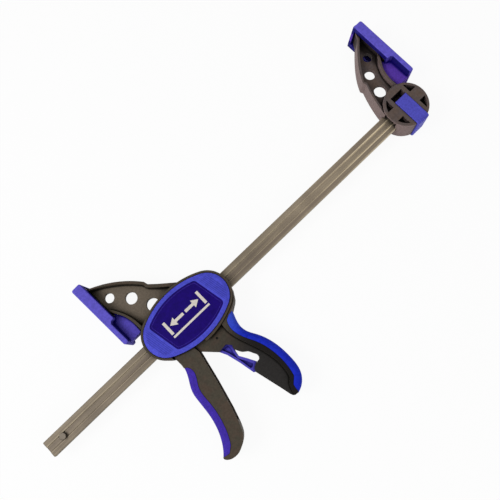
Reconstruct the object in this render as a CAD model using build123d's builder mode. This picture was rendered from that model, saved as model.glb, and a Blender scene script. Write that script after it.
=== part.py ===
from build123d import *

import os
from math import cos, radians, sin, sqrt, tan

# One-handed quick release bar clamp, set up as a spreader: both pads face outwards.
# X runs along the bar from its free end to the fixed jaw, Y points to the jaw tips and
# Z is up, with the clamp lying on its side. The origin is the middle of the footprint.

os.makedirs("parts", exist_ok=True)

# ---------------------------------------------------------------- fits and clearances
touch_gap = 0.02  # between pieces of one body that sit face to face
running_gap = 0.05  # radial, pin in a turning piece
slide_gap = 0.2  # each side, between the bar and what slides along it
free_gap = 0.3  # between bodies that pass each other

# ---------------------------------------------------------------- bar and its stops
bar_length = 482.0
bar_width = 17.0
bar_thick = 5.5
bar_corner = 0.8
bar_end_bevel = 0.6
flute_width = 6.0
flute_floor = 4.8
flute_depth = 0.7
stop_inset = 18.2
stop_radius = 3.2
stop_proud = 3.0
stop_bevel = 0.3

# ---------------------------------------------------------------- jaws
jaw_thick = 30.5  # head of the fixed jaw and housing of the moving jaw
arm_thick = 22.0
jaw_web = 5.0
plate_thick = 4.7
pad_width = 35.0
pad_top = 90.6
pad_bottom = 19.4
pad_depth = 10.3
pad_face = 4.6  # thickness of the pad in front of the jaw plate
pad_end_wall = 2.6
pad_edge = 1.2
fixed_lip = 2.6  # how much deeper the lower rim of the fixed pad reaches over the arm
pad_corner = 2.0
pad_toe = 2.5  # degrees that the moving pad leans out at its tip
tongue_thick = 12.0
tongue_floor = 5.1  # depth of the pad below the end of the tray
plate_bottom = 47.0
tray_bottom = 44.6

# Fixed jaw, measured from the middle of its round head
head_radius = 21.9
head_reach = 29.9  # from the rear stop pin to the pad's face
head_edge = 0.8
head_pocket_depth = 8.5
head_mouth_height = 14.0
head_mouth_thick = 26.0
head_mouth_depth = 3.3

# Moving jaw and its housing, measured from the middle of the oval
house_station = 174.8  # from the front end of the bar
jaw_setback = 60.6  # from the middle of the oval to the pad's face
cover_half_length = 46.5
cover_half_height = 27.0
cover_end_radius = 21.0
cover_gap = 0.3
rim_width = 2.6
wall_thick = 4.6
cover_seat = 2.0  # depth of the rebate that takes the cover
cover_bevel_run = 3.2
cover_bevel_rise = 1.3
label_thick = 0.6
label_recess = 0.8
label_inset = 4.1
label_half_length = 30.3
label_slant = 0.19
label_corner = 4.0

# ---------------------------------------------------------------- handle and levers
web_thick = 17.5
handle_thick = 28.0
handle_drop = 120.3  # lowest point of the handle below the bar's middle
grip_thick = 29.0
grip_edge = 5.5
trigger_thick = 24.1
trigger_grip_thick = 24.9
trigger_wall = 2.8
trigger_drop = 121.1  # lowest point of the trigger below the bar's middle
trigger_pivot = (-26.8, 12.5)
trigger_pin_radius = 2.9
trigger_eye = 6.2
push_radius = 2.5
push_point = (-26.3, -15.5)
trigger_grip_edge = 4.0
lever_thick = 12.0
lever_slot = 12.8
lever_hollow = 3.5
lever_pivot = (5.2, -34.0)
lever_pin_radius = 1.2
lever_pin_recess = 0.6
lever_eye = 5.0

# ---------------------------------------------------------------- drive and brake
drive_plate_thick = 2.8
drive_plate_width = 16.0
drive_plate_top = 16.0
drive_plate_bottom = 19.5
spring_seat = 3.2  # front face of the rib, from the oval's middle
rib_thick = 2.5
drive_wire = 1.6
drive_turns = 5.5
brake_wire = 1.2
brake_turns = 2.5
brake_plate_thick = 3.2
brake_plate_width = 20.0
brake_plate_top = 20.2
brake_plate_bottom = 22.0
brake_station = 13.7
brake_tilt = 5.9
brake_room = 23.2  # rear end of the brake's chamber
brake_ceiling = 16.5
notch_top = 20.6
plate_hole_play = 0.35  # between the bar's edges and the holes of the plates

plate_corner = 2.0
notch_width = 4.4

# ---------------------------------------------------------------- trigger opening
trigger_gate = -36.3
trigger_gate_top = -14.0
web_front = -14.8  # front edge of the web between the trigger's flanges
rim_gate_end = -3.1
flange_gate_end = 0.6
flange_gate_level = 12.5
trigger_pin_seat = 2.0

# ---------------------------------------------------------------- lock button
lock_width = 14.4
lock_side_gap = 0.15
lock_top = 8.2
lock_travel = 5.4
lock_proud = 1.0
lock_leg = 3.0
lock_edge = 0.7
lock_pin_room = 0.3
lock_spring_radius = 2.2
lock_spring_wire = 0.5
lock_spring_level = -11.0
lock_spring_foot = -2.0

# ---------------------------------------------------------------- frame of the whole clamp
brake_arm = brake_plate_top - brake_plate_thick / 2
brake_pivot_x = brake_station - brake_arm * sin(radians(brake_tilt))  # round top edge that rocks
overall_length = bar_length - stop_inset + head_reach
bar_front_x = -overall_length / 2
bar_y = (trigger_drop - pad_top) / 2
mid_z = pad_width / 2
house_x = bar_front_x + house_station
head_x = bar_front_x + bar_length - stop_inset

house = Plane(origin=(house_x, bar_y, mid_z))
head = Plane(origin=(head_x, bar_y, mid_z))
pad_middle = (pad_top + pad_bottom) / 2
toe_rise = pad_depth * sin(radians(pad_toe)) - (pad_top - pad_middle) * (1 - cos(radians(pad_toe)))
toed = house * Pos(-jaw_setback, pad_middle - toe_rise) * Rot(0, 0, pad_toe) * Pos(jaw_setback, -pad_middle)
half_jaw = jaw_thick / 2
half_arm = arm_thick / 2
half_pad = pad_width / 2
slot_height = bar_width + 2 * slide_gap
slot_thick = bar_thick + 2 * slide_gap
plate_top = pad_top - pad_end_wall - touch_gap
rim_half_length = cover_half_length + rim_width
rim_half_height = cover_half_height + rim_width
cover_floor = half_jaw - cover_seat


def across(x):
    """Plane across the bar at x: its own x axis is +Y and its y axis is +Z."""
    return Plane(origin=(x, bar_y, mid_z), x_dir=(0, 1, 0), z_dir=(1, 0, 0))


def save(solid, name):
    """Writes one piece under its own name."""
    solid.label = name
    export_step(solid, f"parts/{name}.step")


def oval_edges(half_length, half_height, end_radius):
    """Oval of four tangent arcs, long axis along x, drawn in the open BuildLine."""
    run = half_length - end_radius
    long_radius = (run**2 / (half_height - end_radius) + end_radius + half_height) / 2
    rise = long_radius - half_height
    share = end_radius / sqrt(run**2 + rise**2)
    join_x = run * (1 + share)
    join_y = rise * share
    ThreePointArc((-join_x, join_y), (0, half_height), (join_x, join_y))
    ThreePointArc((join_x, join_y), (half_length, 0), (join_x, -join_y))
    ThreePointArc((join_x, -join_y), (0, -half_height), (-join_x, -join_y))
    ThreePointArc((-join_x, -join_y), (-half_length, 0), (-join_x, join_y))


def oval_face(plane, grow):
    """Oval of the cover, grown by a margin, on the plane."""
    with BuildSketch(plane) as sketch:
        with BuildLine():
            oval_edges(cover_half_length + grow, cover_half_height + grow, cover_end_radius + grow)
        make_face()
    return sketch.sketch


def round_long_edges(builder, radius):
    """Rounds the longest edge of each flat side, which is the one the hand holds."""
    for side in (0, -1):
        flat = builder.faces().filter_by(Axis.Z).sort_by(Axis.Z)[side]
        fillet(flat.edges().sort_by(SortBy.LENGTH)[-1], radius=radius)


def coil(name, start, direction, length, radius, wire, turns):
    """Helical spring of round wire from a start point along a direction."""
    run = length - wire
    first = Vector(*start) + Vector(*direction) * (wire / 2)
    with BuildPart() as spring:
        with BuildLine() as path:
            Helix(pitch=run / turns, height=run, radius=radius, center=first, direction=direction)
        with BuildSketch(Plane(origin=path.line @ 0, z_dir=path.line % 0)):
            Circle(wire / 2)
        sweep(is_frenet=True)
    save(spring.part, name)


# ================================================================ bar
with BuildPart() as bar:
    with BuildSketch(across(bar_front_x)):
        RectangleRounded(bar_width, bar_thick, bar_corner)
        for side in (1, -1):
            with BuildLine():
                Polyline(
                    (-flute_width / 2, side * bar_thick / 2),
                    (-flute_floor / 2, side * (bar_thick / 2 - flute_depth)),
                    (flute_floor / 2, side * (bar_thick / 2 - flute_depth)),
                    (flute_width / 2, side * bar_thick / 2),
                    close=True,
                )
            make_face(mode=Mode.SUBTRACT)
    extrude(amount=bar_length)
    chamfer(bar.faces().filter_by(Axis.X).edges(), length=bar_end_bevel)
    for stop_x in (bar_front_x + stop_inset, head_x):
        with BuildSketch(Plane(origin=(stop_x, bar_y, mid_z))):
            Circle(stop_radius + touch_gap)
        extrude(amount=bar_thick, both=True, mode=Mode.SUBTRACT)
save(bar.part, "bar")


def stop_pin(name, stop_x):
    """Cross pin that stands proud of both faces of the bar."""
    with BuildPart() as pin:
        with BuildSketch(Plane(origin=(stop_x, bar_y, mid_z))):
            Circle(stop_radius)
        extrude(amount=bar_thick / 2 + stop_proud, both=True)
        chamfer(pin.faces().filter_by(Axis.Z).edges(), length=stop_bevel)
    save(pin.part, name)


stop_pin("front_stop_pin", bar_front_x + stop_inset)
stop_pin("rear_stop_pin", head_x)


# ================================================================ outlines of the arms
fixed_front = head_reach - pad_face - touch_gap
fixed_rear = fixed_front - plate_thick
moving_front = -jaw_setback + pad_face + touch_gap
moving_rear = moving_front + plate_thick
arm_start = (moving_front + moving_rear) / 2
pocket_start = arm_start + 0.8


def fixed_arm_edges():
    """Outline of the fixed jaw's arm and plate, drawn in the open BuildLine."""
    Polyline((-11.4, 41.6), (-12.6, 44.8))
    Spline((-12.6, 44.8), (-4.8, 58), (5.2, 69.8), (11, 75.7), (16.6, 81))
    Polyline(
        (16.6, 81),
        (fixed_rear, plate_top),
        (fixed_front, plate_top),
        (fixed_front, plate_bottom),
        (fixed_rear, plate_bottom),
        (fixed_rear, 54.2),
        (18.2, 51.6),
    )
    Spline((18.2, 51.6), (14.7, 45.9), (12, 40.9), (10, 33.7), (9.3, 26.9), (9.8, 18.9))
    Polyline((9.8, 18.9), (10, 12), (0, 0), (-20.8, 7))
    ThreePointArc((-20.8, 7), (-16.6, 26.6), (-11.4, 41.6))


def moving_arm_edges():
    """Outline of the moving jaw's arm, drawn in the open BuildLine."""
    Line((arm_start, 55.4), (arm_start, 84.2))
    Spline((arm_start, 84.2), (-48.8, 82), (-37.4, 76.3), (-28.2, 70.4), (-16.5, 60.6), (-7.9, 51.1))
    Polyline((-7.9, 51.1), (-6.9, 47), (0, 40.7), (8.9, 33.3), (14.8, 28.4), (0, 0), (-36, 10))
    Line((-36, 10), (-39.9, 19.4))
    Spline((-39.9, 19.4), (-40.1, 27), (-41.3, 35.2), (-43.2, 41), (-45.6, 45.6), (-49.1, 52))
    Line((-49.1, 52), (arm_start, 55.4))


def arm_room(plane, edges):
    """Block in the shape of an arm that leaves its room when it is cut from a pad."""
    with BuildPart() as room:
        with BuildSketch(plane):
            with BuildLine():
                edges()
            make_face()
        extrude(amount=half_arm, both=True)
    return room.part


# ================================================================ jaw pads
def jaw_pad(name, plane, face, out, lip, room):
    """Tray shaped pad cap with its face at x = face, looking towards out times x."""

    def deep(d):
        return face - out * d

    with BuildPart() as pad:
        with BuildSketch(plane) as outline:
            with BuildLine():
                Polyline(
                    (deep(0), pad_top),
                    (deep(pad_depth), pad_top),
                    (deep(pad_depth), tray_bottom + 0.8),
                    (deep(pad_depth - 0.8), tray_bottom),
                    (deep(tongue_floor + 1.4), tray_bottom - 0.4),
                    (deep(tongue_floor), tray_bottom - 2),
                    (deep(tongue_floor), pad_bottom),
                    (deep(0), pad_bottom),
                    close=True,
                )
            make_face()
            fillet(outline.vertices().group_by(Axis.Y)[0], radius=pad_corner)
            fillet(outline.vertices().group_by(Axis.Y)[-1], radius=pad_corner)
        extrude(amount=half_pad, both=True)
        face_edges = pad.faces().sort_by(Axis.X)[0 if out < 0 else -1].edges()
        fillet(face_edges, radius=pad_edge)
        # tongue that props the curved flange below the tray
        tongue_root = (deep(pad_depth - 0.4), tray_bottom + 2.2)
        with BuildSketch(plane):
            with BuildLine():
                Polyline(
                    tongue_root,
                    (deep(pad_face - 1), tray_bottom + 2.2),
                    (deep(pad_face - 1), pad_bottom + 0.4),
                    (deep(16.6), pad_bottom - 0.1),
                    (deep(17.5), pad_bottom + 0.6),
                )
                Spline(
                    (deep(17.5), pad_bottom + 0.6),
                    (deep(18), 26),
                    (deep(18.1), 31.5),
                    (deep(17), 38.8),
                    (deep(14.9), 45.5),
                    (deep(13.3), 48.7),
                    (deep(12.6), 50.1),
                )
                Polyline((deep(12.6), 50.1), (deep(pad_depth - 0.4), 50.1), tongue_root)
            make_face()
        extrude(amount=tongue_thick / 2, both=True)
        # tray that the jaw plate sits in
        with BuildSketch(plane):
            with BuildLine():
                Polyline(
                    (deep(pad_face), pad_top - pad_end_wall),
                    (deep(pad_depth + 1), pad_top - pad_end_wall),
                    (deep(pad_depth + 1), plate_bottom - touch_gap),
                    (deep(pad_face), plate_bottom - touch_gap),
                    close=True,
                )
            make_face()
        extrude(amount=half_arm + touch_gap, both=True, mode=Mode.SUBTRACT)
        add(room, mode=Mode.SUBTRACT)
        # deeper lower rim, and the end wall that widens towards it
        if lip > 0:
            upper_end = Plane(plane.from_local_coords((0, pad_top, 0)), x_dir=(1, 0, 0), z_dir=(0, -1, 0))
            with BuildSketch(upper_end):
                with BuildLine():
                    Polyline(
                        (deep(pad_depth - 3), -half_pad),
                        (deep(pad_depth + lip), -half_pad),
                        (deep(pad_depth + lip), -half_arm),
                        (deep(pad_depth), half_pad),
                        (deep(pad_depth - 3), half_pad),
                        close=True,
                    )
                make_face()
            extrude(amount=pad_end_wall)
            with BuildSketch(plane.offset(-half_pad)) as lower_lip:
                with BuildLine():
                    Polyline(
                        (deep(pad_depth - 3), pad_top),
                        (deep(pad_depth + lip), pad_top),
                        (deep(pad_depth + lip), tray_bottom + 0.8),
                        (deep(pad_depth - 3), tray_bottom + 0.8),
                        close=True,
                    )
                make_face()
                fillet(lower_lip.vertices().group_by(Axis.Y)[-1].sort_by(Axis.X)[0], radius=pad_corner)
            extrude(amount=half_pad - half_arm - touch_gap)
    save(pad.part, name)


fixed_room = arm_room(head * Pos(touch_gap, -touch_gap), fixed_arm_edges)
moving_room = arm_room(house * Pos(-touch_gap, -touch_gap), moving_arm_edges)
jaw_pad("fixed_jaw_pad", head, head_reach, 1, fixed_lip, fixed_room)
jaw_pad("moving_jaw_pad", toed, -jaw_setback, -1, 0, moving_room)

# ================================================================ fixed jaw
lock_half = lock_width / 2 + lock_side_gap
lock_leg_top = -(head_radius + lock_proud) + lock_leg
with BuildPart() as fixed_arm:
    # full thickness inside its outline
    with BuildSketch(head):
        with BuildLine():
            fixed_arm_edges()
        make_face()
    extrude(amount=half_arm, both=True)
    # the pockets on both sides leave the flanges and the web between them
    with BuildSketch(head) as fixed_pocket:
        with BuildLine():
            Polyline((-9.6, 42.2), (-10.9, 45.2))
            Spline((-10.9, 45.2), (-3.6, 55.6), (1.9, 62.6), (10, 71.6), (17.4, 78.8))
            Polyline((17.4, 78.8), (fixed_rear, 82), (fixed_rear, 56.8), (16.6, 53.2))
            Spline((16.6, 53.2), (12.9, 47.6), (9.9, 41.3), (8.2, 35.2), (7.4, 28.4), (7.3, 18.8))
            Polyline((7.3, 18.8), (7.3, 14), (-17.4, 14))
            ThreePointArc((-17.4, 14), (-14.4, 28), (-9.6, 42.2))
        make_face()
    extrude(amount=half_arm, both=True, mode=Mode.SUBTRACT)
    extrude(fixed_pocket.sketch, amount=jaw_web / 2, both=True)
    with BuildSketch(head):
        for x, y, radius in ((13.0, 62.1, 4.6), (2.0, 47.9, 5.3), (-3.1, 28.9, 6.2)):
            with Locations((x, y)):
                Circle(radius)
    extrude(amount=jaw_web, both=True, mode=Mode.SUBTRACT)
with BuildPart() as fixed_jaw:
    # round head
    with BuildSketch(head):
        Circle(head_radius)
    extrude(amount=half_jaw, both=True)
    chamfer(fixed_jaw.faces().filter_by(Axis.Z).edges(), length=head_edge)
    add(fixed_arm.part)
    # four corner pockets in each face of the head
    for side in (1, -1):
        with BuildSketch(Plane(origin=(head_x, bar_y, mid_z + side * half_jaw))):
            for side_x in (1, -1):
                for side_y in (1, -1):
                    with BuildLine():
                        Line((side_x * 11.2, side_y * 6.1), (side_x * 18.4, side_y * 6.1))
                        ThreePointArc(
                            (side_x * 18.4, side_y * 6.1),
                            (side_x * 15.7, side_y * 11.4),
                            (side_x * 11.2, side_y * 15.8),
                        )
                        Line((side_x * 11.2, side_y * 15.8), (side_x * 11.2, side_y * 6.1))
                    make_face()
        extrude(amount=-side * head_pocket_depth, mode=Mode.SUBTRACT)
    # way for the bar and for the stop pin
    with BuildSketch(across(head_x - head_radius - 1)):
        Rectangle(slot_height, slot_thick)
    extrude(amount=head_radius + 1 + stop_inset + slide_gap, mode=Mode.SUBTRACT)
    with BuildSketch(across(head_x - head_radius - 1)):
        Rectangle(2 * (stop_radius + slide_gap), bar_thick + 2 * (stop_proud + slide_gap))
    extrude(amount=head_radius + 1, mode=Mode.SUBTRACT)
    # wider mouth where the bar enters
    with BuildSketch(across(head_x - head_radius - 1)):
        Rectangle(head_mouth_height, head_mouth_thick)
    extrude(amount=1 + head_mouth_depth, mode=Mode.SUBTRACT)
    # way for the lock button: two side slots and the notch for its leg
    for side in (1, -1):
        with BuildSketch(Plane(origin=(head_x, bar_y, mid_z + side * slot_thick / 2))):
            with Locations((0, (lock_top + lock_travel + 0.6 - head_radius - 2) / 2)):
                Rectangle(2 * lock_half, lock_top + lock_travel + 0.6 + head_radius + 2)
        extrude(amount=side * half_jaw, mode=Mode.SUBTRACT)
    with BuildSketch(head):
        with Locations((0, -head_radius)):
            Rectangle(2 * lock_half, 2 * (head_radius + lock_leg_top + lock_travel + free_gap))
    extrude(amount=half_jaw, both=True, mode=Mode.SUBTRACT)
save(fixed_jaw.part, "fixed_jaw")

# ================================================================ lock button
lock_face = half_pad - 1
lock_inner = slot_thick / 2 + 0.15
lock_foot = -(head_radius + lock_proud)
with BuildPart() as lock_button:
    with BuildSketch(head):
        with Locations((0, (lock_top + lock_foot) / 2)):
            Rectangle(lock_width, lock_top - lock_foot)
    extrude(amount=lock_face, both=True)
    fillet(lock_button.edges().filter_by(Axis.X).group_by(Axis.Y)[0], radius=2)
    chamfer(lock_button.edges().filter_by(Axis.Y), length=lock_edge)
    # gap for the bar and the rib of the head beside it
    with BuildSketch(across(head_x - lock_width)):
        with Locations(((lock_top + 1 + lock_leg_top) / 2, 0)):
            Rectangle(lock_top + 1 - lock_leg_top, 2 * lock_inner)
    extrude(amount=2 * lock_width, mode=Mode.SUBTRACT)
    # pocket that holds the stop pin, and its way out when the button is pressed
    pin_half = stop_radius + lock_pin_room
    pin_level = bar_thick / 2 + stop_proud + lock_pin_room
    low = -lock_travel - pin_half
    with BuildSketch(head):
        with BuildLine():
            Polyline(
                (-pin_half, pin_half),
                (pin_half, pin_half),
                (pin_half, low),
                (-lock_width, low),
                (-lock_width, low + 2 * pin_half),
                (-pin_half, low + 2 * pin_half),
                close=True,
            )
        make_face()
    extrude(amount=pin_level, both=True, mode=Mode.SUBTRACT)
    # bore for the return spring
    spring_plane = Plane(
        origin=(head_x, bar_y + lock_spring_foot, mid_z + lock_spring_level),
        x_dir=(1, 0, 0),
        z_dir=(0, 1, 0),
    )
    with BuildSketch(spring_plane):
        Circle(lock_spring_radius + lock_spring_wire)
    extrude(amount=2 * lock_top, mode=Mode.SUBTRACT)
save(lock_button.part, "jaw_lock_button")
lock_spring_length = lock_top + lock_travel + 0.6 - lock_spring_foot - 2 * touch_gap
coil(
    "jaw_lock_spring",
    (head_x, bar_y + lock_spring_foot + touch_gap, mid_z + lock_spring_level),
    (0, 1, 0),
    lock_spring_length,
    lock_spring_radius,
    lock_spring_wire,
    7,
)

# ================================================================ moving jaw frame
grip_tip = (32.2, -25.6)
handle_end = -handle_drop
rim_low = (28.5, handle_end + 15.2)


def grip_border():
    """Border between the handle and its soft grip, drawn downwards from the grip's outer tip."""
    Polyline(grip_tip, (27.6, -26.6), (23.4, -28.8))
    Spline((23.4, -28.8), (20.9, -35.5), (21.6, -44.5), (29.5, -62.3), (34.6, -85.6), (32.2, handle_end + 13.4))
    Polyline((32.2, handle_end + 13.4), (26.5, handle_end + 8.1), (25, handle_end))


with BuildPart() as frame:
    # arm, full thickness inside its outline
    with BuildSketch(house):
        with BuildLine():
            moving_arm_edges()
        make_face()
    extrude(amount=half_arm, both=True)
    # the pockets on both sides leave the flanges and the web between them
    with BuildSketch(house) as moving_pocket:
        with BuildLine():
            Line((pocket_start, 57.6), (pocket_start, 81.8))
            Spline((pocket_start, 81.8), (-46.8, 79.4), (-36.5, 73.3), (-25.4, 65.2), (-15.6, 56), (-10.4, 50))
            Polyline((-10.4, 50), (-10, 46), (-2.2, 38.4), (6, 31.6), (0, 10), (-34, 12), (-36.8, 19))
            Spline((-36.8, 19), (-37.7, 28), (-38.9, 34.6), (-40.8, 40.5), (-44, 47.3), (-48.3, 54.5))
            Line((-48.3, 54.5), (pocket_start, 57.6))
        make_face()
    extrude(amount=half_arm, both=True, mode=Mode.SUBTRACT)
    extrude(moving_pocket.sketch, amount=jaw_web / 2, both=True)
    with BuildSketch(house):
        for x, y, radius in ((-42.3, 64.5, 4.8), (-27.4, 49.9, 5.9), (-16.7, 31.2, 6.3)):
            with Locations((x, y)):
                Circle(radius)
    extrude(amount=jaw_web, both=True, mode=Mode.SUBTRACT)
    # plate that carries the pad
    with BuildSketch(toed):
        with Locations((moving_front, plate_bottom)):
            Rectangle(plate_thick, plate_top - plate_bottom, align=Align.MIN)
    extrude(amount=half_arm, both=True)
    # oval housing
    add(extrude(oval_face(house, rim_width), amount=half_jaw, both=True, mode=Mode.PRIVATE))
    # thin web down to the finger window and the front of the handle
    with BuildSketch(house):
        with BuildLine():
            Polyline(
                (39.6, -20.7),
                (20, -20),
                (-14.8, -22),
                (-14.8, -31.5),
                (-2, -44.6),
                (7.1, -43.7),
                (11, -48.4),
            )
            Spline(
                (11, -48.4),
                (9.6, -51.6),
                (10.6, -54.6),
                (13.4, -59),
                (17, -61.8),
                (19.6, -66.6),
                (21.4, -70.8),
                (20.6, -73.6),
                (17.6, -74.6),
            )
            Polyline(
                (17.6, -74.6),
                (14.4, -75.3),
                (11, -77.3),
                (9.6, -80.6),
                (16.5, handle_end + 12.4),
                (18.4, handle_end + 4.1),
                (19.5, handle_end + 1.5),
                (21.3, handle_end + 0.2),
                (25, handle_end),
            )
            Line((39.6, -20.7), grip_tip)
            grip_border()
        make_face()
    extrude(amount=web_thick / 2, both=True)
    # thick rear rim of the handle
    with BuildSketch(house):
        with BuildLine():
            Polyline((21.3, handle_end + 0.8), (21.3, handle_end + 4.1), (23.7, handle_end + 10.8), rim_low)
            Spline(rim_low, (30.5, -88), (22.3, -57.1), (17.2, -41), (17.5, -27))
            Polyline((17.5, -27), (30, -15), (46.8, -10.8), (42.1, -18.4), (39.6, -20.7), grip_tip)
            grip_border()
            Line((25, handle_end), (21.3, handle_end + 0.8))
        make_face()
    extrude(amount=handle_thick / 2, both=True)
    # rebates for the covers
    for side in (1, -1):
        rebate = Plane(origin=(house_x, bar_y, mid_z + side * cover_floor))
        add(
            extrude(oval_face(rebate, cover_gap), amount=side * half_jaw, mode=Mode.PRIVATE),
            mode=Mode.SUBTRACT,
        )
    # drive chamber in front of the rib, brake chamber behind it and the notch above that
    with BuildSketch(house) as chambers:
        add(oval_face(Plane.XY, rim_width - wall_thick))
        with BuildSketch(mode=Mode.INTERSECT):
            with Locations((spring_seat, 0)):
                Rectangle(2 * cover_half_length, 4 * cover_half_height, align=(Align.MAX, Align.CENTER))
            with Locations((spring_seat + rib_thick, brake_ceiling)):
                Rectangle(
                    brake_room - spring_seat - rib_thick,
                    4 * cover_half_height,
                    align=(Align.MIN, Align.MAX),
                )
        with Locations((brake_pivot_x, notch_top)):
            Rectangle(notch_width, notch_top - brake_ceiling + 1, align=(Align.CENTER, Align.MAX))
    extrude(amount=cover_floor, both=True, mode=Mode.SUBTRACT)
    # way for the bar
    with BuildSketch(across(house_x - rim_half_length - 1)):
        Rectangle(slot_height, slot_thick)
    extrude(amount=2 * rim_half_length + 2, mode=Mode.SUBTRACT)
    # opening below for the trigger: its flanges straddle the thin web
    with BuildSketch(house):
        with Locations((trigger_gate, trigger_gate_top)):
            Rectangle(web_front - trigger_gate, rim_half_height, align=(Align.MIN, Align.MAX))
    extrude(amount=half_jaw, both=True, mode=Mode.SUBTRACT)
    for side in (1, -1):
        web_side = Plane(origin=(house_x, bar_y, mid_z + side * web_thick / 2))
        with BuildSketch(web_side):
            with Locations((trigger_gate, trigger_gate_top)):
                Rectangle(rim_gate_end - trigger_gate, 2 * rim_half_height, align=(Align.MIN, Align.MAX))
        extrude(amount=side * half_jaw, mode=Mode.SUBTRACT)
        with BuildSketch(web_side):
            with Locations((trigger_gate, trigger_gate_top)):
                Rectangle(flange_gate_end - trigger_gate, 2 * rim_half_height, align=(Align.MIN, Align.MAX))
        extrude(amount=side * (flange_gate_level - web_thick / 2), mode=Mode.SUBTRACT)
    # slots in the web for both ends of the release lever
    with BuildSketch(house):
        with BuildLine():
            Polyline(
                (-5.5, -50),
                (-2.8, -41),
                (-0.3, -36),
                (-0.3, -31.5),
                (2.5, -28.4),
                (7, -27.4),
                (8, -18),
                (brake_room, -18),
                (brake_room, -28),
                (14, -37),
                (14, -58),
                (-5.5, -58),
                close=True,
            )
        make_face()
        with BuildLine():
            Polyline((5, -69), (24, -69), (24, -76), (18, -82.5), (8, -84.5), close=True)
        make_face()
    extrude(amount=lever_slot / 2, both=True, mode=Mode.SUBTRACT)
    with BuildSketch(house):
        with Locations(lever_pivot):
            Circle(lever_pin_radius + touch_gap)
    extrude(amount=half_jaw, both=True, mode=Mode.SUBTRACT)
save(frame.part, "body_frame")

# ================================================================ covers and label plates


def label_face(plane, grow, slant):
    """Long sides that follow the cover's outline, joined by straight slanted ends."""
    run = cover_half_length - cover_end_radius
    long_radius = (run**2 / (cover_half_height - cover_end_radius) + cover_end_radius + cover_half_height) / 2
    rise = long_radius - cover_half_height
    side_radius = long_radius - label_inset + grow
    half_height = side_radius - rise
    corners = []
    for end, edge in ((-1, 1), (1, 1), (1, -1), (-1, -1)):
        y = edge * half_height
        for _ in range(12):
            x = end * (label_half_length + grow) - slant * y
            y = edge * (sqrt(side_radius**2 - x**2) - rise)
        corners.append((x, y))
    with BuildSketch(plane) as sketch:
        with BuildLine():
            ThreePointArc(corners[0], (0, half_height), corners[1])
            Line(corners[1], corners[2])
            ThreePointArc(corners[2], (0, -half_height), corners[3])
            Line(corners[3], corners[0])
        make_face()
        fillet(sketch.vertices(), radius=label_corner)
    return sketch.sketch


def cover(side, name, label_name):
    """Oval cover in its rebate on one side, and the label plate let into it."""
    inner = Plane(origin=(house_x, bar_y, mid_z + side * (cover_floor + touch_gap)))
    outer = Plane(origin=(house_x, bar_y, mid_z + side * half_pad))
    recess_floor = Plane(origin=(house_x, bar_y, mid_z + side * (half_pad - label_recess)))
    slant = side * label_slant
    with BuildPart() as lid:
        straight = half_pad - cover_bevel_rise - cover_floor - touch_gap
        add(extrude(oval_face(inner, 0), amount=side * straight, mode=Mode.PRIVATE))
        bevel_foot = Plane(origin=(house_x, bar_y, mid_z + side * (half_pad - cover_bevel_rise)))
        bevel_base = oval_face(bevel_foot, 0)
        bevel_top = oval_face(outer, -cover_bevel_run)
        add(loft([bevel_base.faces()[0], bevel_top.faces()[0]], ruled=True, mode=Mode.PRIVATE))
        add(
            extrude(label_face(recess_floor, touch_gap, slant), amount=side * pad_width, mode=Mode.PRIVATE),
            mode=Mode.SUBTRACT,
        )
        with BuildSketch(inner):
            with Locations(trigger_pivot):
                Circle(trigger_pin_radius + touch_gap)
        extrude(amount=side * (trigger_pin_seat + touch_gap), mode=Mode.SUBTRACT)
    save(lid.part, name)
    with BuildPart() as label:
        add(extrude(label_face(recess_floor, 0, slant), amount=side * label_thick, mode=Mode.PRIVATE))
    save(label.part, label_name)


cover(1, "upper_cover", "upper_label_plate")
cover(-1, "lower_cover", "lower_label_plate")

# ================================================================ handle grip
with BuildPart() as handle_grip:
    with BuildSketch(house):
        with BuildLine():
            Line(grip_tip, (31.8, -27.4))
            Spline(
                (31.8, -27.4),
                (30, -32),
                (28.4, -39),
                (29.2, -47.4),
                (34.3, -57.3),
                (41.1, -79),
                (41.8, -92.5),
                (38.4, handle_end + 10.2),
                (30.1, handle_end + 1.9),
                (25, handle_end),
            )
            grip_border()
        make_face()
    extrude(amount=grip_thick / 2, both=True)
    round_long_edges(handle_grip, grip_edge)
save(handle_grip.part, "handle_grip")

# ================================================================ trigger


def trigger_border():
    """Border between the trigger and its soft grip, drawn downwards."""
    Spline(
        (-35, -33),
        (-31.3, -36.6),
        (-30.6, -41.5),
        (-36.6, -54),
        (-39.1, -71.5),
        (-43.4, -95),
        (-50.8, -111),
    )
    Polyline((-50.8, -111), (-56.3, -115.4), (-63.2, -114.3))


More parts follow.
